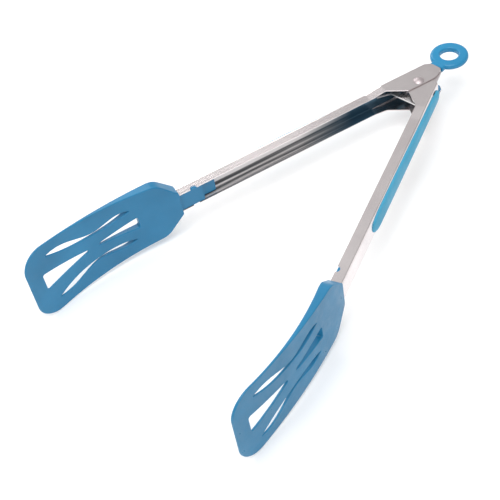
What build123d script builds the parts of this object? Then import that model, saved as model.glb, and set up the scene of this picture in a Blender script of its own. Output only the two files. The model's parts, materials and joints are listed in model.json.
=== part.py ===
from build123d import *
import os
from math import asin, atan2, cos, degrees, hypot, pi, radians, sin, tan

# Spring loaded kitchen tongs: two folded steel channels on one rivet, slotted turner heads,
# a torsion spring that holds them open and a pull ring that locks them shut.
# Every piece is drawn about the pivot: the rivet's axis is Z, the heads point to +X.
# An arm is drawn straight along +X with its back wall towards +Y, then swung or mirrored.
# All sizes are in millimetres.

# ---- arms: U channels folded from sheet
OPEN_ANGLE = 18.3             # each arm from the centre line, spring at rest
STEEL = 0.8                   # sheet thickness
BACK = 12.1                   # pivot axis to the outer face of the back wall
FLANGE_DEPTH = 7.0
ARM_HALF_WIDTH = 7.2
BEND_RADIUS = 1.6             # outside radius of the two long folds
ARM_END = 178.0               # the last 5 mm sit inside the head's collar
OUTER_EAR_HALF_WIDTH = 8.65   # the outer arm's ears straddle the inner arm's
EAR_GAP = 0.2                 # between an outer ear and the inner ear beside it
INNER_EAR_HALF_WIDTH = OUTER_EAR_HALF_WIDTH - STEEL - EAR_GAP
FLARE_START = 22.0            # the ears' full width reaches this far along the arm
FLARE_END = 34.0
EAR_EDGE = -3.8               # inner edge of the ears, past the pivot axis
WALL_END = -2.0               # the back wall stops here and the ears run on behind it
EAR_TOP = 11.1
EAR_FRONT = 22.0              # the flange starts to widen to the ear here
EAR_REAR = -18.2
NOTCH_AT = 163.0              # half round notches that the head's plug is crimped to
NOTCH_RADIUS = 2.2

# ---- hooks lanced out of the back walls for the lock plate
HOOK_AT = 3.2                 # rear face of the hook's web
HOOK_DEPTH = 4.0              # web height from the outer face of the wall
HOOK_LIP = 3.8
HOOK_HALF_WIDTH = 2.4
HOOK_WINDOW_END = 9.5

# ---- pivot
SHANK_RADIUS = 2.0
PIVOT_CLEARANCE = 0.05
RIVET_HEAD_RADIUS = 3.5
RIVET_HEAD_HEIGHT = 1.3
WASHER_RADIUS = 4.2
WASHER_THICKNESS = 0.5
BUSH_RADIUS = 3.2
BUSH_FLANGE_RADIUS = 5.8
BUSH_FLANGE = 0.5
BUSH_HALF_SPAN = INNER_EAR_HALF_WIDTH - STEEL - PIVOT_CLEARANCE

# ---- torsion spring
WIRE_RADIUS = 0.8
COIL_RADIUS = 5.0
COIL_PITCH = 1.72
COIL_FULL_TURNS = 2
COIL_START_Z = -4.2
LEG_REACH = 26.0              # along the arm to where a leg bears on the back wall
LEG_GAP = 0.1                 # between the leg's wire and the wall

# ---- lock plate and pull ring
PLATE_Z = 4.2                 # the plate slides above the spring, between the two bushes
PLATE_THICKNESS = 1.0
PLATE_GAP = 0.1               # above and below the plate, to the bushes' flanges
PLATE_FRONT = 16.3
BAR_HALF_WIDTH = 10.9
BAR_LENGTH = 3.0
BARB_LENGTH = 2.5
BARB_WIDTH = 1.3
WAIST_HALF_WIDTH = 6.2
STEM_HALF_WIDTH = 4.4
SLOT_HALF_WIDTH = 3.4
SLOT_REAR_CENTRE = -0.15
SLOT_FRONT_CENTRE = 8.0
TAIL_BEND_AT = -16.0
TAIL_TILT = 5.0               # the tail rises a little to the ring, which stands level
TAIL_END = -24.0
KEY_RADIUS = 1.6              # hole in the tail that the ring's moulding fills
KEY_AT = -21.2
RING_AT = -33.2
RING_OUTER_RADIUS = 12.45
RING_BORE_RADIUS = 6.05
RING_THICKNESS = 4.2
RING_OUTER_ROUND = 1.9
RING_BORE_ROUND = 1.2
NECK_HALF_WIDTH = 4.9
NECK_THICKNESS = 3.8
NECK_END = 14.4               # from the ring's centre, towards the pivot
NECK_ROUND = 1.2

# ---- heads
COLLAR_AT = 173.0
HEAD_TIP = 278.0
COLLAR_HALF_WIDTH = 8.8
COLLAR_ROUND = 2.0
COLLAR_OUTER = 12.9
COLLAR_INNER = 4.0
BLADE_MID = 228.0             # the blade's faces are arcs through its middle
BLADE_MID_OUTER = 7.2
BLADE_MID_INNER = 5.1
TIP_OUTER = -5.6
TIP_INNER = -7.3
SHOULDER_AT = 185.5
SHOULDER_HALF_WIDTH = 21.8
SHOULDER_ROUND = 12.0
TIP_HALF_WIDTH = 28.3
TIP_ROUND = 14.0
PLUG_START = 157.0            # the plug fills the channel from here to the collar
PLUG_FACE = 5.5
PLUG_HALF_WIDTH = 6.4
TONGUE_START = 148.0          # the thinner tongue in front of the plug
TONGUE_FACE = 7.6
TONGUE_HALF_WIDTH = 5.0
BLADE_EDGE_ROUND = 0.5

# ---- grips
GRIP_START = -1.6
GRIP_END = 124.0
GRIP_REAR_HALF_WIDTH = 4.6    # near the pivot
GRIP_WIDEST_AT = 100.0
GRIP_HALF_WIDTH = 6.3
GRIP_TIP_HALF_WIDTH = 4.4
GRIP_TIP_ROUND = 3.8
GRIP_THICKNESS = 2.0
GRIP_END_THICKNESS = 1.2
GRIP_SLOPE = 12.0             # length over which each end thins down
GRIP_EDGE_ROUND = 0.9

HIGH = 40.0                   # past every piece, for cutting solids


def face_of(corners):
    """Face inside a closed polygon of (x, y, corner radius)."""
    points = [(x, y) for x, y, _ in corners]
    radii = [radius for _, _, radius in corners]
    return make_face(FilletPolyline(*points, radius=radii, close=True))


def both_sides(half_outline):
    """Mirror an outline of (x, y, radius) with y over 0 about the X axis and close it."""
    return half_outline + [(x, -y, radius) for x, y, radius in reversed(half_outline)]


def through_z(face):
    """Solid of an XY face carried far both ways along Z."""
    return extrude(face, amount=HIGH, both=True)


def through_y(face):
    """Solid of an (x, z) face carried far both ways along Y."""
    return extrude(Plane.XZ * face, amount=HIGH, both=True)


def tube_z(radius, low, high):
    """Cylinder about the pivot axis between two heights."""
    return Pos(0, 0, low) * Cylinder(radius, high - low, align=(Align.CENTER, Align.CENTER, Align.MIN))


def folded_block(half_outline, wall, radius):
    """Block with its back at y = wall, a plan of (x, z), and rounded long edges at the back."""
    plan = Plane.XZ.offset(-wall) * face_of(both_sides(half_outline))
    block = extrude(plan, amount=HIGH)
    back = block.edges().filter_by_position(Axis.Y, wall - 0.01, wall + 0.01)
    long_edges = back.filter_by(lambda edge: abs((edge @ 0).X - (edge @ 1).X) > 1)
    return fillet(long_edges, radius)


def ear_profile():
    """Side view of an arm: a straight flange that widens to the ear round the pivot."""
    flange_edge = BACK - FLANGE_DEPTH
    return face_of([
        (ARM_END, BACK, 0),
        (ARM_END, flange_edge, 0),
        (EAR_FRONT, flange_edge, 4.0),
        (EAR_FRONT - 11.6, EAR_EDGE, 2.5),
        (EAR_REAR + 7.5, EAR_EDGE, 6.0),
        (EAR_REAR, 0.2, 3.0),
        (EAR_REAR + 2.2, EAR_TOP - 2.3, 3.0),
        (EAR_REAR + 6.4, EAR_TOP, 2.0),
        (WALL_END, EAR_TOP, 0.5),
        (WALL_END, BACK, 0),
    ])


def hook():
    """L shaped hook bent inwards out of the back wall, lip pointing to the heads."""
    top = BACK - HOOK_DEPTH
    web = face_of([
        (HOOK_AT, BACK - STEEL / 2, 0),
        (HOOK_AT, top, STEEL),
        (HOOK_AT + HOOK_LIP, top, 0),
        (HOOK_AT + HOOK_LIP, top + STEEL, 0),
        (HOOK_AT + STEEL, top + STEEL, 0),
        (HOOK_AT + STEEL, BACK - STEEL / 2, 0),
    ])
    return Pos(0, 0, PLATE_Z - HOOK_HALF_WIDTH) * extrude(web, amount=2 * HOOK_HALF_WIDTH)


def arm_channel(ear_half_width):
    """Folded channel with its ears, rivet holes, hook and crimp notches."""
    outline = [
        (-HIGH, ear_half_width, 0),
        (FLARE_START, ear_half_width, 0),
        (FLARE_END, ARM_HALF_WIDTH, 0),
        (ARM_END, ARM_HALF_WIDTH, 0),
    ]
    hollow_outline = [(x, half - STEEL, 0) for x, half, _ in outline[:-1]]
    hollow_outline.append((ARM_END + STEEL, ARM_HALF_WIDTH - STEEL, 0))
    skin = folded_block(outline, BACK, BEND_RADIUS)
    hollow = folded_block(hollow_outline, BACK - STEEL, BEND_RADIUS - STEEL)
    channel = (skin - hollow) & through_z(ear_profile())
    channel -= tube_z(SHANK_RADIUS + PIVOT_CLEARANCE, -HIGH, HIGH)
    channel -= Pos(NOTCH_AT, BACK - FLANGE_DEPTH, 0) * Cylinder(NOTCH_RADIUS, HIGH)
    window = HOOK_WINDOW_END - HOOK_AT - STEEL
    channel -= Pos(HOOK_WINDOW_END - window / 2, BACK, PLATE_Z) * Box(window, 3 * STEEL, 2 * HOOK_HALF_WIDTH)
    return channel + hook()


def side_slot(side):
    """Wavy slot: pointed at both ends, narrow in the middle where it bows to the centre."""
    far_edge = [(262.6, 18.2), (250.0, 17.5), (230.0, 11.3), (214.0, 14.0), (205.4, 12.4)]
    near_edge = [(205.4, 12.4), (214.0, 10.2), (230.0, 9.8), (250.0, 13.1), (262.6, 18.2)]
    edges = Spline(*[(x, side * z) for x, z in far_edge])
    edges += Spline(*[(x, side * z) for x, z in near_edge])
    return make_face(edges)


def blade():
    """Slotted turner blade: it leaves the collar in line with the arm and curves inwards."""
    side = Line((HEAD_TIP, TIP_OUTER), (HEAD_TIP, TIP_INNER))
    side += ThreePointArc((COLLAR_AT, COLLAR_OUTER), (BLADE_MID, BLADE_MID_OUTER), (HEAD_TIP, TIP_OUTER))
    side += ThreePointArc((HEAD_TIP, TIP_INNER), (BLADE_MID, BLADE_MID_INNER), (COLLAR_AT, COLLAR_INNER))
    side += Line((COLLAR_AT, COLLAR_INNER), (COLLAR_AT, COLLAR_OUTER))
    plan = face_of(both_sides([
        (COLLAR_AT, COLLAR_HALF_WIDTH, COLLAR_ROUND),
        (SHOULDER_AT, SHOULDER_HALF_WIDTH, SHOULDER_ROUND),
        (HEAD_TIP, TIP_HALF_WIDTH, TIP_ROUND),
    ]))
    body = through_z(make_face(side)) & through_y(plan)
    front = face_of(both_sides([(237.2, 0.8, 0.6), (268.2, 6.4, 1.2)]))
    rear = face_of(both_sides([(201.4, 4.3, 1.0), (228.8, 0.7, 0.5)]))
    for cut in (front, rear, side_slot(1), side_slot(-1)):
        body -= through_y(cut)
    broad_faces = body.faces().sort_by(lambda face: face.area)[-2:]
    edges = ShapeList(edge for face in broad_faces for edge in face.edges())
    return fillet(edges, BLADE_EDGE_ROUND)


def turner_head(channel):
    """Moulded head: blade over the channel's end, with a plug and a tongue inside it."""
    wall_face = BACK - STEEL
    plug_length = ARM_END - PLUG_START
    plug_depth = wall_face - PLUG_FACE
    plug = Pos(PLUG_START + plug_length / 2, PLUG_FACE + plug_depth / 2, 0)
    plug *= Box(plug_length, plug_depth, 2 * PLUG_HALF_WIDTH)
    tongue_length = ARM_END - TONGUE_START
    tongue_depth = wall_face - TONGUE_FACE
    tongue = Pos(TONGUE_START + tongue_length / 2, TONGUE_FACE + tongue_depth / 2, 0)
    tongue *= Box(tongue_length, tongue_depth, 2 * TONGUE_HALF_WIDTH)
    return blade() + plug + tongue - channel


def grip():
    """Soft pad bonded to the back wall: narrow by the pivot, widest near its rounded tip."""
    plan = face_of(both_sides([
        (GRIP_START, GRIP_REAR_HALF_WIDTH, 4.0),
        (GRIP_WIDEST_AT, GRIP_HALF_WIDTH, 40.0),
        (GRIP_END, GRIP_TIP_HALF_WIDTH, GRIP_TIP_ROUND),
    ]))
    top = BACK + GRIP_THICKNESS
    end_top = BACK + GRIP_END_THICKNESS
    side = face_of([
        (GRIP_START, BACK, 0),
        (GRIP_START, end_top, 0),
        (GRIP_START + GRIP_SLOPE, top, 20.0),
        (GRIP_END - GRIP_SLOPE, top, 20.0),
        (GRIP_END, end_top, 0),
        (GRIP_END, BACK, 0),
    ])
    pad = through_z(side) & through_y(plan)
    crown = pad.edges().filter_by(lambda edge: edge.bounding_box().min.Y > BACK + GRIP_END_THICKNESS / 2)
    return fillet(crown, GRIP_EDGE_ROUND)


def dome(radius, height, base):
    """Low button dome about Z: a slice of the sphere through its rim and its crown."""
    ball = (radius ** 2 + height ** 2) / (2 * height)
    cap = Sphere(ball) & Pos(0, 0, ball - height / 2) * Box(4 * ball, 4 * ball, height)
    return Pos(0, 0, base - ball + height) * cap


def pivot_rivet():
    """Rivet through all four ears: button head on top, formed head on the washer below."""
    seat = OUTER_EAR_HALF_WIDTH + PIVOT_CLEARANCE
    low_seat = seat + WASHER_THICKNESS
    rivet = tube_z(SHANK_RADIUS, -low_seat, seat)
    rivet += dome(RIVET_HEAD_RADIUS, RIVET_HEAD_HEIGHT, seat)
    return rivet + Rot(180, 0, 0) * dome(RIVET_HEAD_RADIUS, RIVET_HEAD_HEIGHT, low_seat)


def rivet_washer():
    """Plain washer under the rivet's formed head."""
    low = -OUTER_EAR_HALF_WIDTH - PIVOT_CLEARANCE - WASHER_THICKNESS
    washer = tube_z(WASHER_RADIUS, low, low + WASHER_THICKNESS)
    return washer - tube_z(SHANK_RADIUS, low, low + WASHER_THICKNESS)


def spring_bush():
    """Lower bush: carries the coil, and its flange is the floor the lock plate slides on."""
    plate_under = PLATE_Z - PLATE_THICKNESS / 2
    flange_top = plate_under - PLATE_GAP
    bush = tube_z(BUSH_RADIUS, -BUSH_HALF_SPAN, plate_under + PLATE_THICKNESS + PLATE_GAP)
    bush += tube_z(BUSH_FLANGE_RADIUS, flange_top - BUSH_FLANGE, flange_top)
    return bush - tube_z(SHANK_RADIUS, -HIGH, HIGH)


def slide_bush():
    """Upper bush: fills the space above the lock plate and keeps it down."""
    low = PLATE_Z + PLATE_THICKNESS / 2 + PLATE_GAP
    bush = tube_z(BUSH_RADIUS, low, BUSH_HALF_SPAN) + tube_z(BUSH_FLANGE_RADIUS, low, low + BUSH_FLANGE)
    return bush - tube_z(SHANK_RADIUS, -HIGH, HIGH)


def torsion_spring():
    """Coil round the bush with a straight leg to each back wall, arms open."""
    swing = radians(OPEN_ANGLE)
    bear = BACK - STEEL - LEG_GAP - WIRE_RADIUS
    end_x = LEG_REACH * cos(swing) - bear * sin(swing)
    end_y = LEG_REACH * sin(swing) + bear * cos(swing)
    reach = hypot(end_x, end_y)
    start = atan2(end_y, end_x) + pi / 2 - asin(COIL_RADIUS / reach)
    turned = 2 * pi * (COIL_FULL_TURNS + 1) - 2 * start
    height = COIL_PITCH * turned / (2 * pi)
    leg = (reach ** 2 - COIL_RADIUS ** 2) ** 0.5
    rise = COIL_PITCH / (2 * pi * COIL_RADIUS)

    def coil_point(angle, z):
        return Vector(COIL_RADIUS * cos(angle), COIL_RADIUS * sin(angle), z)

    def coil_tangent(angle):
        return Vector(-sin(angle), cos(angle), rise)

    foot = coil_point(start, COIL_START_Z)
    crown = coil_point(start + turned, COIL_START_Z + height)
    foot_end = foot - coil_tangent(start) * leg
    crown_end = crown + coil_tangent(start + turned) * leg
    coil = Pos(0, 0, COIL_START_Z) * Rot(0, 0, degrees(start)) * Helix(COIL_PITCH, height, COIL_RADIUS)
    path = Wire([Edge.make_line(foot_end, foot), coil.edge(), Edge.make_line(crown, crown_end)])
    section = Plane(origin=foot_end, z_dir=coil_tangent(start)) * Circle(WIRE_RADIUS)
    return sweep(section, path=path)


def lock_plate():
    """Sliding plate: barbed front bar, slot for the bush, stem out between the back walls."""
    plan = face_of(both_sides([
        (PLATE_FRONT, BAR_HALF_WIDTH, 0.4),
        (PLATE_FRONT - BAR_LENGTH - BARB_LENGTH, BAR_HALF_WIDTH, 0.3),
        (PLATE_FRONT - BAR_LENGTH - BARB_LENGTH, BAR_HALF_WIDTH - BARB_WIDTH, 0.3),
        (PLATE_FRONT - BAR_LENGTH, BAR_HALF_WIDTH - BARB_WIDTH, 0.6),
        (PLATE_FRONT - BAR_LENGTH, WAIST_HALF_WIDTH, 1.0),
        (-5.5, WAIST_HALF_WIDTH, 2.0),
        (-9.0, STEM_HALF_WIDTH, 2.0),
        (TAIL_END, STEM_HALF_WIDTH, 1.0),
    ]))
    low = PLATE_Z - PLATE_THICKNESS / 2
    high = PLATE_Z + PLATE_THICKNESS / 2
    tail = TAIL_END - 1.0
    rise = (TAIL_BEND_AT - tail) * tan(radians(TAIL_TILT))
    side = face_of([
        (PLATE_FRONT + 1, low, 0),
        (PLATE_FRONT + 1, high, 0),
        (TAIL_BEND_AT, high, 3.0),
        (tail, high + rise, 0),
        (tail, low + rise, 0),
        (TAIL_BEND_AT, low, 4.0),
    ])
    slot_length = SLOT_FRONT_CENTRE - SLOT_REAR_CENTRE
    slot = Pos((SLOT_FRONT_CENTRE + SLOT_REAR_CENTRE) / 2, 0)
    slot *= SlotCenterToCenter(slot_length, 2 * SLOT_HALF_WIDTH)
    plate = (through_z(plan) & through_y(side)) - through_z(slot)
    return plate - Pos(KEY_AT, 0, PLATE_Z) * Cylinder(KEY_RADIUS, 4.0)


def ring_place():
    """Where the ring's centre stands: at the height that the tail's slope reaches there."""
    rise = (TAIL_BEND_AT - RING_AT) * tan(radians(TAIL_TILT))
    return Pos(RING_AT, 0, PLATE_Z + rise)


def pull_ring(plate):
    """Moulded ring with a short neck over the plate's tail."""
    middle = (RING_OUTER_RADIUS + RING_BORE_RADIUS) / 2
    tall = RING_THICKNESS / 2
    section = face_of([
        (RING_BORE_RADIUS, -tall, RING_BORE_ROUND),
        (RING_OUTER_RADIUS, -tall, RING_OUTER_ROUND),
        (RING_OUTER_RADIUS, tall, RING_OUTER_ROUND),
        (RING_BORE_RADIUS, tall, RING_BORE_ROUND),
    ])
    ring = revolve(Plane.XZ * section, axis=Axis.Z)
    neck = Pos((middle + NECK_END) / 2, 0, 0)
    neck *= Box(NECK_END - middle, 2 * NECK_HALF_WIDTH, NECK_THICKNESS)
    neck = fillet(neck.edges().filter_by(Axis.X), NECK_ROUND)
    return ring_place() * (ring + neck) - plate


def all_pieces():
    """Every piece about the pivot, by node name."""
    pieces = {}
    arms = (
        ("outer_arm", OUTER_EAR_HALF_WIDTH, -1),
        ("inner_arm", INNER_EAR_HALF_WIDTH, 1),
    )
    for name, ear_half_width, side in arms:
        channel = arm_channel(ear_half_width)
        drawn = {name: channel, name + "_head": turner_head(channel), name + "_grip": grip()}
        for node, solid in drawn.items():
            if side < 0:
                solid = mirror(solid, about=Plane.XZ)
            pieces[node] = Rot(0, 0, side * OPEN_ANGLE) * solid
    pieces["pivot_rivet"] = pivot_rivet()
    pieces["rivet_washer"] = rivet_washer()
    pieces["spring_bush"] = spring_bush()
    pieces["slide_bush"] = slide_bush()
    pieces["torsion_spring"] = torsion_spring()
    plate = lock_plate()
    pieces["lock_plate"] = plate
    pieces["pull_ring"] = pull_ring(plate)
    return pieces


# The origin is moved from the pivot to the middle of the bottom of the whole object.
os.makedirs("parts", exist_ok=True)
PIECES = all_pieces()
whole = Compound(children=[Part() + solid for solid in PIECES.values()]).bounding_box()
shift = Pos(-(whole.min.X + whole.max.X) / 2, -(whole.min.Y + whole.max.Y) / 2, -whole.min.Z)
print("pivot axis at", shift.position, "size", whole.size)
for node, solid in PIECES.items():
    export_step(shift * solid, f"parts/{node}.step")
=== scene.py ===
import json

import bpy
import numpy as np
from math import radians
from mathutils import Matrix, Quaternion, Vector


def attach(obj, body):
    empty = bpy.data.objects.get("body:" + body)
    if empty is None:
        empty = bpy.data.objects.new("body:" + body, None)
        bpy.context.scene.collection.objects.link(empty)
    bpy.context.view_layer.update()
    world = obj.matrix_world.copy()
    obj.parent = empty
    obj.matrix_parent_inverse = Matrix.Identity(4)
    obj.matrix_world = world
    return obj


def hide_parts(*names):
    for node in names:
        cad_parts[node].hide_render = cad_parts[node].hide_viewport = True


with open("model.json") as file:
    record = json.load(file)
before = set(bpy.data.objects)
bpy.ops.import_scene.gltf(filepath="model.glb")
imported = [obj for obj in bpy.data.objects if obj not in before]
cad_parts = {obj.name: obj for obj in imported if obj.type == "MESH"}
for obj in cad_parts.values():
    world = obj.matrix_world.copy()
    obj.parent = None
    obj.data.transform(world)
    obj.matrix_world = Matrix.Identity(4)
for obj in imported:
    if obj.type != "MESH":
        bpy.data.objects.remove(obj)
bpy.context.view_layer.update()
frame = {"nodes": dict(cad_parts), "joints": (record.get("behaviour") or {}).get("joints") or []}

nodes = frame["nodes"]


# ---- the two arms
# Each arm is a channel folded from 0.8 mm stainless sheet and polished outside. The inside is
# left as drawn, and its colour holds long bands of painted reflection along it, painted light in its
# upper half, and painted shade in its lower half and near the pivot, with a navy painted reflection there.
hinges = {joint["child"]: joint for joint in frame["joints"] if joint["type"] == "hinge"}
pivot = Vector(hinges["inner_side"]["pos_m"])
OPEN_ANGLE = radians(18.3)
WALL_INSIDE = 0.01165          # half way through the back wall, from the arm's centre plane
FLANGE_INSIDE = 0.0068         # half way through a flange
STEEL_TINT = (0.86, 0.80, 0.80)
STEEL_SHADE = (0.76, 0.70, 0.705)
# Painted colours of the inside: painted light, painted shade, and a navy painted reflection near the pivot.
INSIDE_PAINTED_LIGHT = (0.96, 0.91, 0.90)
INSIDE_PAINTED_SHADE = (0.19, 0.20, 0.21)
INSIDE_PAINTED_NAVY_REFLECTION = (0.060, 0.130, 0.190)
PAINTED_LIGHT_HALF_FROM = -0.0030           # height over which painted light is added to the inside's upper half
PAINTED_LIGHT_HALF_TO = 0.0000
REFLECTION_BAND_LENGTH = 0.22             # of the painted reflection bands inside, along the arm
REFLECTION_BAND_WIDTH = 0.0024
PAINTED_SHADE_UNTIL = 0.045             # the inside's painted shade is darkest as far as this from the pivot
PAINTED_LIGHT_FROM = 0.085             # and its painted light is full from here on
LINE_LENGTH = 0.05             # of the fine polishing lines
LINE_WIDTH = 0.0005
LINE_DEPTH = 0.000004
SMEARS_PER_M = 40.0
OUTER_GLOSS = (0.15, 0.27)     # roughness from its smoothest to its dullest
INNER_GLOSS = (0.10, 0.24)
PAINTED_LIGHT_HALF_LIFT = 0.5               # painted light added to the upper half's bands
REFLECTION_BAND_EDGES = (0.40, 0.62)      # the noise that is full painted shade, and full painted reflection
DIFFUSE_SHARE = 0.35           # of the inside's shine that is scattered
PAINTED_BRIGHT_DIFFUSE = 0.60          # more of it on the painted bright reflection bands


class Wire:
    """One output of a node. Arithmetic on it adds Math nodes: 1 - mask, wear * 0.3."""

    def __init__(self, wiring, socket):
        self.wiring = wiring
        self.socket = socket

    def __add__(self, other):
        return self.wiring.math("ADD", self, other)

    def __radd__(self, other):
        return self.wiring.math("ADD", other, self)

    def __sub__(self, other):
        return self.wiring.math("SUBTRACT", self, other)

    def __rsub__(self, other):
        return self.wiring.math("SUBTRACT", other, self)

    def __mul__(self, other):
        return self.wiring.math("MULTIPLY", self, other)

    def __rmul__(self, other):
        return self.wiring.math("MULTIPLY", other, self)


class Wiring:
    """A tree of nodes, cleared and then built node by node."""

    def __init__(self, tree):
        self.tree = tree
        self.tree.nodes.clear()

    def node(self, kind, settings, sockets, output=0):
        """Add a node: its settings first, then its sockets' values or links. Gives one output."""
        made = self.tree.nodes.new(kind)
        for name, value in settings.items():
            if name == "grey_stops":
                stops = made.color_ramp.elements
                while len(stops) < len(value):
                    stops.new(1.0)
                for stop, (position, level) in zip(stops, value):
                    stop.position = position
                    stop.color = (level, level, level, 1.0)
            else:
                setattr(made, name, value)
        for key, value in sockets.items():
            if isinstance(value, Wire):
                self.tree.links.new(value.socket, made.inputs[key])
            else:
                made.inputs[key].default_value = value
        return Wire(self, made.outputs[output]) if made.outputs else None

    def math(self, operation, first, second):
        """One sum or comparison of two values or wires."""
        return self.node("ShaderNodeMath", {"operation": operation}, {0: first, 1: second})


class Finish(Wiring):
    """A material of one finish, ended by its surface shader."""

    def __init__(self, name):
        self.material = bpy.data.materials.new(name)
        self.material.use_nodes = True
        super().__init__(self.material.node_tree)
        self.place = self.node("ShaderNodeTexCoord", {}, {}, "Object")

    def noise(self, place, scale, detail=2.0, roughness=0.5):
        """Noise from 0 to 1, with about scale features in a unit of the place it is given."""
        sockets = {"Vector": place, "Scale": scale, "Detail": detail, "Roughness": roughness}
        return self.node("ShaderNodeTexNoise", {}, sockets)

    def turned(self, angle, scale):
        """Object coordinates from the rivet, turned about Z by an angle, then multiplied by a scale."""
        centred = self.node("ShaderNodeVectorMath", {"operation": "SUBTRACT"}, {0: self.place, 1: pivot})
        straight = self.node("ShaderNodeMapping", {}, {"Vector": centred, "Rotation": (0.0, 0.0, angle)})
        return self.node("ShaderNodeVectorMath", {"operation": "MULTIPLY"}, {0: straight, 1: scale})

    def range(self, value, low, high, new_low, new_high):
        """Straight map of one range of values to another, clamped at its ends."""
        sockets = {"Value": value, 1: low, 2: high, 3: new_low, 4: new_high}
        return self.node("ShaderNodeMapRange", {"clamp": True}, sockets)

    def mix(self, factor, first, second):
        """Blend of two colours."""
        colours = [colour if isinstance(colour, Wire) else (*colour, 1.0) for colour in (first, second)]
        sockets = {0: factor, 6: colours[0], 7: colours[1]}
        return self.node("ShaderNodeMix", {"data_type": "RGBA"}, sockets, 2)

    def bump(self, height, depth):
        """Normal of a surface whose height of 0 to 1 stands for a depth in metres."""
        sockets = {"Height": height, "Distance": depth, "Strength": 1.0}
        return self.node("ShaderNodeBump", {}, sockets)

    def surface(self, sockets):
        """End the material with a Principled surface and give the material."""
        shader = self.node("ShaderNodeBsdfPrincipled", {}, sockets)
        self.node("ShaderNodeOutputMaterial", {}, {"Surface": shader})
        return self.material


def coat_node(name, material):
    """Give a frame node its finish in place of the plain one it came with."""
    mesh = nodes[name].data
    mesh.materials.clear()
    mesh.materials.append(material)


def folded_sheet(name, side):
    """Sheet of the arm on one side: its own coordinates tell the inside, coloured with painted light, shade
    and reflections, from the outside.
    """
    finish = Finish(name)
    angle = -side * OPEN_ANGLE
    line_place = finish.turned(angle, (1 / LINE_LENGTH, 1 / LINE_WIDTH, 1 / LINE_WIDTH))
    lines = finish.noise(line_place, 1.0, 3.0)
    # Long bands of painted reflection inside the channel, painted into its colour.
    reflection_band_place = finish.turned(angle, (1 / REFLECTION_BAND_LENGTH, 1 / REFLECTION_BAND_WIDTH, 1 / REFLECTION_BAND_WIDTH))
    reflection_bands = finish.noise(reflection_band_place, 1.0, 3.0, 0.6)
    smears = finish.noise(finish.place, SMEARS_PER_M, 3.0)
    drawn = finish.turned(angle, (1.0, 1.0, 1.0))
    length = finish.node("ShaderNodeSeparateXYZ", {}, {0: drawn}, "X")
    depth = finish.node("ShaderNodeSeparateXYZ", {}, {0: drawn}, "Y") * side
    height = finish.node("ShaderNodeSeparateXYZ", {}, {0: drawn}, "Z")
    flange_side = finish.node("ShaderNodeMath", {"operation": "ABSOLUTE"}, {0: height})
    within_wall = finish.math("LESS_THAN", depth, WALL_INSIDE)
    within_flanges = finish.math("LESS_THAN", flange_side, FLANGE_INSIDE)
    inside = within_wall * within_flanges
    outer_colour = finish.mix(finish.range(smears, 0.35, 0.7, 0.0, 1.0), STEEL_TINT, STEEL_SHADE)
    # Painted shade and a navy painted reflection near the pivot, turning to painted light further along the
    # arm.
    painted_lit = finish.range(length, PAINTED_SHADE_UNTIL, PAINTED_LIGHT_FROM, 0.0, 1.0)
    # Painted light on the upper half of the inside.
    painted_light_half = finish.range(height, PAINTED_LIGHT_HALF_FROM, PAINTED_LIGHT_HALF_TO, 0.0, PAINTED_LIGHT_HALF_LIFT)
    painted_bright = finish.range(reflection_bands + painted_light_half, *REFLECTION_BAND_EDGES, 0.0, 1.0) * painted_lit
    # The inside's colour: painted reflection bands over painted shade, with a navy painted reflection by
    # the pivot.
    painted_inner_colour = finish.mix(painted_bright, finish.mix(painted_lit, INSIDE_PAINTED_NAVY_REFLECTION, INSIDE_PAINTED_SHADE), INSIDE_PAINTED_LIGHT)
    outer_gloss = finish.range(lines * 0.5 + smears * 0.5, 0.3, 0.7, *OUTER_GLOSS)
    inner_gloss = finish.range(reflection_bands * 0.6 + lines * 0.4, 0.3, 0.7, *INNER_GLOSS)
    return finish.surface({
        "Base Color": finish.mix(inside, outer_colour, painted_inner_colour),
        "Metallic": 1.0 - inside * (DIFFUSE_SHARE + painted_bright * PAINTED_BRIGHT_DIFFUSE),
        "Roughness": inner_gloss * inside + outer_gloss * (1 - inside),
        "Normal": finish.bump(lines, LINE_DEPTH),
    })


coat_node("inner_arm", folded_sheet("inner_arm_sheet", 1))
coat_node("outer_arm", folded_sheet("outer_arm_sheet", -1))


# ---- rivet, washer and bushes
# A turned stainless rivet through all four ears, its lower head formed on a plain washer.
# Between the ears it carries two moulded acetal bushes with thin flanges.
RIVET_TINT = (0.60, 0.53, 0.54)
BUSH_TINT = (0.80, 0.80, 0.77)
BUSH_SHADE = (0.74, 0.74, 0.71)
TOOL_RING_SCALE = 900.0
TOOL_RING_DEPTH = 0.000006
STAINS_PER_M = 700.0
STAIN_SHADE = 0.75             # of the metal's own tint
FLOW_PER_M = 28.0              # the clouds of a moulding's flow
RUBS_PER_M = 90.0


def turned_metal(name, tint, low, high):
    """Turned metal: rings round the pivot axis and small stains, between two roughnesses."""
    finish = Finish(name)
    centred = finish.turned(0.0, (1.0, 1.0, 1.0))
    rings = finish.node("ShaderNodeTexWave", {"wave_type": "RINGS", "rings_direction": "Z"},
                        {"Vector": centred, "Scale": TOOL_RING_SCALE, "Distortion": 1.5, "Detail": 2.0}, 1)
    stains = finish.noise(finish.place, STAINS_PER_M, 3.0)
    return finish.surface({
        "Base Color": finish.mix(stains * 0.5, tint, [STAIN_SHADE * part for part in tint]),
        "Metallic": 1.0,
        "Roughness": finish.range(rings * 0.4 + stains * 0.6, 0.2, 0.8, low, high),
        "Normal": finish.bump(rings, TOOL_RING_DEPTH),
    })


rivet_finish = turned_metal("rivet_metal", RIVET_TINT, low=0.42, high=0.55)
for name in ("pivot_rivet", "rivet_washer"):
    coat_node(name, rivet_finish)


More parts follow.
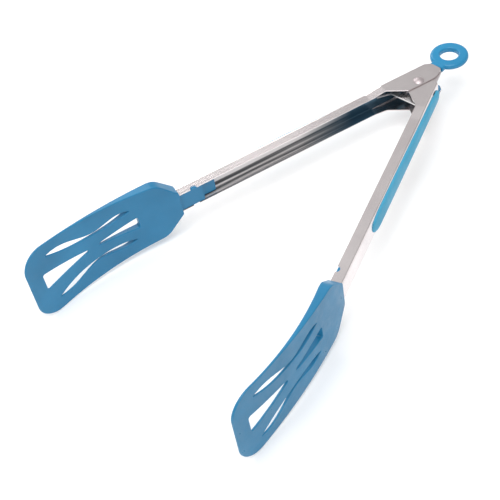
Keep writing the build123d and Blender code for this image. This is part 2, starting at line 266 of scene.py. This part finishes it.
def moulded(name, tint, shade, grain_per_m, grain_depth, low, high):
    """Moulded plastic: tool grain, faint flow clouds and patches rubbed to the low roughness."""
    finish = Finish(name)
    grain = finish.noise(finish.place, grain_per_m, 2.0, 0.6)
    flow = finish.noise(finish.place, FLOW_PER_M, 3.0)
    rubbed = finish.range(finish.noise(finish.place, RUBS_PER_M, 4.0, 0.65), 0.45, 0.7, 0.0, 1.0)
    return finish.surface({
        "Base Color": finish.mix(finish.range(flow, 0.3, 0.7, 0.0, 1.0), tint, shade),
        "Roughness": finish.range(grain * 0.5 + rubbed * 0.5, 0.2, 0.8, high, low),
        "Normal": finish.bump(grain, grain_depth),
        "IOR": 1.5,
    })


bush_finish = moulded("bush_acetal", BUSH_TINT, BUSH_SHADE,
                      grain_per_m=2500.0, grain_depth=0.00001, low=0.35, high=0.5)
for name in ("spring_bush", "slide_bush"):
    coat_node(name, bush_finish)


# ---- torsion spring
# Oiled hard drawn wire wound round the lower bush, with a straight leg to each back wall. Two
# lengths lap at the middle of the coil. Each turns with the arm it pushes, so the coil winds
# up as the tongs close.
WIRE_TINT = (0.50, 0.50, 0.52)
WIRE_SHADE = (0.36, 0.36, 0.38)
WIRE_GLOSS = (0.24, 0.42)
OIL_PER_M = 400.0
DIE_MARKS_PER_M = 3000.0
DIE_MARK_DEPTH = 0.000008
WIRE_RADIUS = 0.00078
COIL_RADIUS = 0.005
COIL_PITCH = 0.00172
COIL_FULL_TURNS = 2
COIL_START = -0.0042           # height of the coil's low end
COIL_LAP = radians(20.0)       # each length runs this far past the middle of the coil
LEG_BEARS_AT = (0.026, 0.0104) # along the arm, and outwards from its line
COIL_POINTS = 110
LEG_POINTS = 24
WIRE_SIDES = 20


def drawn_wire(name):
    """Dull spring wire with clouded oil marks."""
    finish = Finish(name)
    oil = finish.noise(finish.place, OIL_PER_M, 4.0, 0.6)
    return finish.surface({
        "Base Color": finish.mix(oil, WIRE_TINT, WIRE_SHADE),
        "Metallic": 1.0,
        "Roughness": finish.range(oil, 0.3, 0.7, *WIRE_GLOSS),
        "Normal": finish.bump(finish.noise(finish.place, DIE_MARKS_PER_M), DIE_MARK_DEPTH),
    })


def closed_faces(rows, columns):
    """Quads round a tube of rows, and a fan of triangles to one pole point at each end."""
    ring = np.arange(columns)
    beside = (ring + 1) % columns
    start = np.arange(rows - 1)[:, None] * columns
    corners = [start + ring, start + beside, start + columns + beside, start + columns + ring]
    quads = np.stack(corners, axis=-1)
    last = (rows - 1) * columns
    first_fan = np.stack([beside, ring, np.full(columns, rows * columns)], axis=-1)
    last_fan = np.stack([last + ring, last + beside, np.full(columns, rows * columns + 1)], axis=-1)
    return quads.reshape(-1, 4).tolist() + first_fan.tolist() + last_fan.tolist()


def mesh_object(name, points, faces, material):
    """Smooth object at the origin from an array of points and a list of faces."""
    mesh = bpy.data.meshes.new(name)
    mesh.from_pydata(points.reshape(-1, 3).tolist(), [], faces)
    mesh.polygons.foreach_set("use_smooth", np.ones(len(mesh.polygons), bool))
    mesh.materials.append(material)
    made = bpy.data.objects.new(name, mesh)
    bpy.context.scene.collection.objects.link(made)
    return made


def half_spring(name, material, upper):
    """Wire as a function of the way along and round it: half the coil, then its leg.

    The centreline is a helix about the pivot, then the helix's own tangent. Round it, the
    radial direction and the one square to it carry a circle of the wire's radius.
    """
    bears = np.array(LEG_BEARS_AT)
    reach = np.hypot(*bears)
    leg_angle = OPEN_ANGLE + np.arctan2(bears[1], bears[0])
    low_end = leg_angle + np.pi / 2 - np.arcsin(COIL_RADIUS / reach)
    turned = 2 * np.pi * (COIL_FULL_TURNS + 1) - 2 * low_end
    middle = low_end + turned / 2
    first, last = (middle - COIL_LAP, low_end + turned) if upper else (middle + COIL_LAP, low_end)
    angle = np.concatenate([np.linspace(first, last, COIL_POINTS), np.full(LEG_POINTS, last)])
    leg = np.concatenate([np.zeros(COIL_POINTS), np.linspace(0, 1, LEG_POINTS + 1)[1:]])
    leg = leg * np.sqrt(reach ** 2 - COIL_RADIUS ** 2) * np.sign(last - first)
    flat = np.zeros_like(angle)
    climb = flat + COIL_PITCH / (2 * np.pi * COIL_RADIUS)
    outward = np.stack([np.cos(angle), np.sin(angle), flat], axis=-1)
    tangent = np.stack([-np.sin(angle), np.cos(angle), climb], axis=-1)
    height = COIL_START + COIL_PITCH * (angle - low_end) / (2 * np.pi)
    line = COIL_RADIUS * outward + tangent * leg[:, None] + height[:, None] * np.array((0.0, 0.0, 1.0))
    forward = tangent * np.sign(last - first) / np.linalg.norm(tangent, axis=1)[:, None]
    square = np.cross(forward, outward)
    turn = np.linspace(0, 2 * np.pi, WIRE_SIDES, endpoint=False)[:, None]
    rings = line[:, None] + WIRE_RADIUS * (np.cos(turn) * outward[:, None] + np.sin(turn) * square[:, None])
    points = np.concatenate([rings.reshape(-1, 3), line[[0, -1]]]) + np.array(pivot)
    return mesh_object(name, points, closed_faces(len(line), WIRE_SIDES), material)


wire_finish = drawn_wire("spring_wire")
spring_halves = (("lower_half_spring", "inner_side", False), ("upper_half_spring", "outer_side", True))
for name, body, upper in spring_halves:
    wire = half_spring(name, wire_finish, upper)
    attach(wire, body)
    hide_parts("torsion_spring")


# ---- lock plate
# A flat plate pressed from 1 mm stainless sheet, left with the mill's satin face. It slides
# between the two bushes' flanges and is drawn out by the ring.
PLATE_TINT = (0.74, 0.73, 0.73)
PLATE_SHADE = (0.60, 0.59, 0.59)
ROLLING_SCALE = (60.0, 2200.0, 2200.0)    # lines long in the direction of the slide
ROLLING_DEPTH = 0.00001
SCUFFS_PER_M = 260.0
PLATE_GLOSS = (0.26, 0.44)


def mill_sheet(name):
    """Satin rolled sheet: short lines along the slide and scuffs from rubbing."""
    finish = Finish(name)
    rolled = finish.noise(finish.turned(0.0, ROLLING_SCALE), 1.0, 2.0, 0.6)
    scuffs = finish.range(finish.noise(finish.place, SCUFFS_PER_M, 4.0, 0.7), 0.5, 0.7, 0.0, 1.0)
    return finish.surface({
        "Base Color": finish.mix(scuffs * 0.6, PLATE_TINT, PLATE_SHADE),
        "Metallic": 1.0,
        "Roughness": finish.range(rolled * 0.5 + scuffs * 0.5, 0.2, 0.8, *PLATE_GLOSS),
        "Normal": finish.bump(rolled, ROLLING_DEPTH),
    })


coat_node("lock_plate", mill_sheet("lock_plate_sheet"))


# ---- pull ring
# A ring moulded in blue nylon over the tail of the lock plate, to pull it by and to hang the
# tongs up. Its grain is finer than the heads'.
RING_TINT = (0.014, 0.250, 0.480)
RING_SHADE = (0.011, 0.220, 0.430)
ring_finish = moulded("ring_nylon", RING_TINT, RING_SHADE,
                      grain_per_m=1600.0, grain_depth=0.000016, low=0.30, high=0.44)
coat_node("pull_ring", ring_finish)


# ---- turner heads
# Slotted blades of blue nylon, moulded over the ends of the channels and crimped there. The
# blades have a fine spark grain and the faint clouds of the nylon's flow.
HEAD_TINT = (0.014, 0.218, 0.425)
HEAD_SHADE = (0.008, 0.165, 0.330)
head_finish = moulded("head_nylon", HEAD_TINT, HEAD_SHADE,
                      grain_per_m=1300.0, grain_depth=0.00003, low=0.26, high=0.42)
for name in ("inner_arm_head", "outer_arm_head"):
    coat_node(name, head_finish)


# ---- grips
# Soft blue pads bonded to the back walls, crowned across and thinned to nothing at both
# ends. Each fills the space of its plain pad in the frame. The rubber is duller than nylon.
GRIP_TINT = (0.058, 0.385, 0.600)
GRIP_SHADE = (0.042, 0.335, 0.530)
PAD_ROWS = 72
CROWN_POINTS = 28
BASE_POINTS = 8
REAR_CAP = 0.006               # length of the rounded end by the pivot
FRONT_CAP = 0.010
REAR_WIDTH_SHARE = 0.74        # of the pad's greatest width
WIDEST_SHARE = 0.80            # of the way along
CROWN_FULLNESS = 0.85          # 1 is an ellipse, less is fuller at its shoulders


def arm_space(node, side):
    """A node's points as distance along its arm, outwards from the arm's line, and height."""
    mesh = nodes[node].data
    points = np.empty(len(mesh.vertices) * 3)
    mesh.vertices.foreach_get("co", points)
    x, y, z = (points.reshape(-1, 3) - np.array(pivot)).T
    y = y * side
    along = x * np.cos(OPEN_ANGLE) + y * np.sin(OPEN_ANGLE)
    outwards = y * np.cos(OPEN_ANGLE) - x * np.sin(OPEN_ANGLE)
    return np.stack([along, outwards, z], axis=-1)


def from_arm_space(points, side):
    """Points given along, outwards and up from the pivot, back in the frame's coordinates."""
    along, outwards, z = np.moveaxis(points, -1, 0)
    x = along * np.cos(OPEN_ANGLE) - outwards * np.sin(OPEN_ANGLE)
    y = side * (along * np.sin(OPEN_ANGLE) + outwards * np.cos(OPEN_ANGLE))
    return np.stack([x, y, z], axis=-1) + np.array(pivot)


def pad_surface(low, high):
    """Rows of section points between two corners in arm space, closed by a pole at each end.

    The half width grows from the rear share to full at the widest place, then eases in. Each
    cap scales width and height by the quarter circle of its own length. A section is a full
    half ellipse over a flat base.
    """
    along = low[0] + (high[0] - low[0]) * (1 - np.cos(np.pi * np.linspace(0, 1, PAD_ROWS))) / 2
    share = (along - low[0]) / (high[0] - low[0])
    growth = np.sin(np.pi / 2 * share / WIDEST_SHARE)
    swell = REAR_WIDTH_SHARE + (1 - REAR_WIDTH_SHARE) * growth
    rear = np.clip(1 - (along - low[0]) / REAR_CAP, 0, 1)
    front = np.clip(1 - (high[0] - along) / FRONT_CAP, 0, 1)
    cap = np.sqrt(1 - rear ** 2) * np.sqrt(1 - front ** 2)
    half_width = (high[2] - low[2]) / 2 * swell * cap
    rise = (high[1] - low[1]) * cap
    turn = np.linspace(-np.pi / 2, np.pi / 2, CROWN_POINTS)
    across = np.concatenate([np.sin(turn), np.linspace(1, -1, BASE_POINTS + 2)[1:-1]])
    up = np.concatenate([np.cos(turn) ** CROWN_FULLNESS, np.zeros(BASE_POINTS)])
    return np.stack([
        np.repeat(along[:, None], len(across), 1),
        low[1] + rise[:, None] * up,
        half_width[:, None] * across + (high[2] + low[2]) / 2,
    ], axis=-1)


def grip_pad(name, node, side, material):
    """One arm's crowned pad, in the space of its frame node."""
    space = arm_space(node, side)
    rows = pad_surface(space.min(0), space.max(0))
    body = rows[1:-1]
    poles = rows[[0, -1], 0]
    points = np.concatenate([body.reshape(-1, 3), poles])
    faces = closed_faces(len(body), body.shape[1])
    if side < 0:
        faces = [face[::-1] for face in faces]
    return mesh_object(name, from_arm_space(points, side), faces, material)


grip_finish = moulded("grip_rubber", GRIP_TINT, GRIP_SHADE,
                      grain_per_m=1800.0, grain_depth=0.00004, low=0.42, high=0.62)
for name, side in (("inner", 1), ("outer", -1)):
    pad = grip_pad(name + "_grip_pad", name + "_arm_grip", side, grip_finish)
    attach(pad, name + "_side")
    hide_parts(name + "_arm_grip")


# ---- floor
# A pale matt sweep of painted board under the tongs: a flat table that rises in a quarter
# circle at its far side. It glows a little, which keeps the shadows light.
FLOOR_HALF = 3.0
FLOOR_RISES_AT = 1.6
FLOOR_CURVE = 1.2              # radius of the rise
FLAT_POINTS = 12
CURVE_POINTS = 16
FLOOR_TINT = (0.86, 0.86, 0.86)
FLOOR_SHADE = [0.985 * part for part in FLOOR_TINT]
FLOOR_GLOW = 0.16
GLOW_TINT = (1.0, 1.0, 1.0)
GLOW_SHADE = (0.97, 0.97, 0.97)
MOTTLE_PER_M = 6.0


def sweep_sheet(half, rise_from, radius):
    """Floor as a function of (u, v): flat up to rise_from, then a quarter circle, away in -X."""
    turn = np.linspace(0.0, np.pi / 2, CURVE_POINTS)[1:]
    u = np.concatenate([np.linspace(half, -rise_from, FLAT_POINTS), -rise_from - radius * np.sin(turn)])
    lift = np.concatenate([np.zeros(FLAT_POINTS), radius * (1 - np.cos(turn))])
    v = np.linspace(-half, half, FLAT_POINTS)
    return np.stack([
        np.repeat(u[:, None], len(v), 1),
        np.repeat(v[None, :], len(u), 0),
        np.repeat(lift[:, None], len(v), 1),
    ], axis=-1)


def grid_faces(rows, columns):
    """Quads of a rows by columns grid of points."""
    corner = np.arange(rows * columns).reshape(rows, columns)
    quads = [corner[:-1, :-1], corner[:-1, 1:], corner[1:, 1:], corner[1:, :-1]]
    return np.stack(quads, axis=-1).reshape(-1, 4).tolist()


def floor_paint(name):
    """Matt pale paint with the faintest mottle."""
    finish = Finish(name)
    mottle = finish.noise(finish.place, MOTTLE_PER_M, 2.0)
    return finish.surface({
        "Base Color": finish.mix(mottle, FLOOR_TINT, FLOOR_SHADE),
        "Roughness": finish.range(mottle, 0.3, 0.7, 0.75, 0.9),
        "Emission Color": finish.mix(mottle, GLOW_TINT, GLOW_SHADE),
        "Emission Strength": FLOOR_GLOW,
        "Specular IOR Level": 0.1,
    })


floor_grid = sweep_sheet(FLOOR_HALF, FLOOR_RISES_AT, FLOOR_CURVE)
floor = mesh_object("floor", floor_grid, grid_faces(*floor_grid.shape[:2]), floor_paint("floor_paint"))


# ---- studio light
# A wide soft box overhead on the camera's side, a smaller one behind for the rims, and a grey
# room whose level changes with height, in bands that the polished steel mirrors.
ROOM_BANDS = ((0.42, 0.55), (0.52, 0.35), (0.62, 0.80), (0.75, 0.45), (0.88, 0.88))
ROOM_STRENGTH = 0.8
MIDDLE = (0.13, 0.0, 0.0)      # of the tongs, from the pivot


def soft_box(name, place, width, height, power):
    """Rectangular area light at a place relative to the pivot, facing the tongs' middle."""
    light = bpy.data.lights.new(name, "AREA")
    light.shape = "RECTANGLE"
    light.size = width
    light.size_y = height
    light.energy = power
    lamp = bpy.data.objects.new(name, light)
    lamp.location = pivot + Vector(place)
    lamp.rotation_euler = (Vector(MIDDLE) - Vector(place)).to_track_quat("-Z", "Y").to_euler()
    bpy.context.scene.collection.objects.link(lamp)


soft_box("overhead_box", (0.45, 0.15, 1.1), width=0.9, height=0.9, power=10.0)
soft_box("rim_box", (-0.35, -0.95, 0.55), width=0.6, height=0.35, power=3.5)

room = bpy.data.worlds.new("room")
bpy.context.scene.world = room
room.use_nodes = True
room_wiring = Wiring(room.node_tree)
direction = room_wiring.node("ShaderNodeTexCoord", {}, {}, "Generated")
upwards = room_wiring.node("ShaderNodeSeparateXYZ", {}, {0: direction}, "Z") * 0.5 + 0.5
glow = room_wiring.node("ShaderNodeValToRGB", {"grey_stops": ROOM_BANDS}, {0: upwards})
background = room_wiring.node("ShaderNodeBackground", {}, {"Color": glow, "Strength": ROOM_STRENGTH})
room_wiring.node("ShaderNodeOutputWorld", {}, {"Surface": background})
bpy.context.scene.view_settings.view_transform = "Standard"


# ---- camera
# A long lens looking down across the tongs from beyond the heads. It is rolled a little, so
# that the two arms open to the lower left.
CAMERA_FROM_PIVOT = Vector((0.44563, 0.34098, 0.48002))
AIM_FROM_PIVOT = Vector((0.16661, 0.00149, 0.0))
CAMERA_ROLL = radians(-11.591)
lens = bpy.data.cameras.new("camera")
lens.lens = 80.53
lens.sensor_width = 36.0
lens.clip_start = 0.01
lens.clip_end = 50.0
camera = bpy.data.objects.new("camera", lens)
camera.location = pivot + CAMERA_FROM_PIVOT
camera.rotation_mode = "QUATERNION"
towards = (AIM_FROM_PIVOT - CAMERA_FROM_PIVOT).to_track_quat("-Z", "Y")
camera.rotation_quaternion = towards @ Quaternion((0.0, 0.0, 1.0), CAMERA_ROLL)
bpy.context.scene.collection.objects.link(camera)
bpy.context.scene.camera = camera
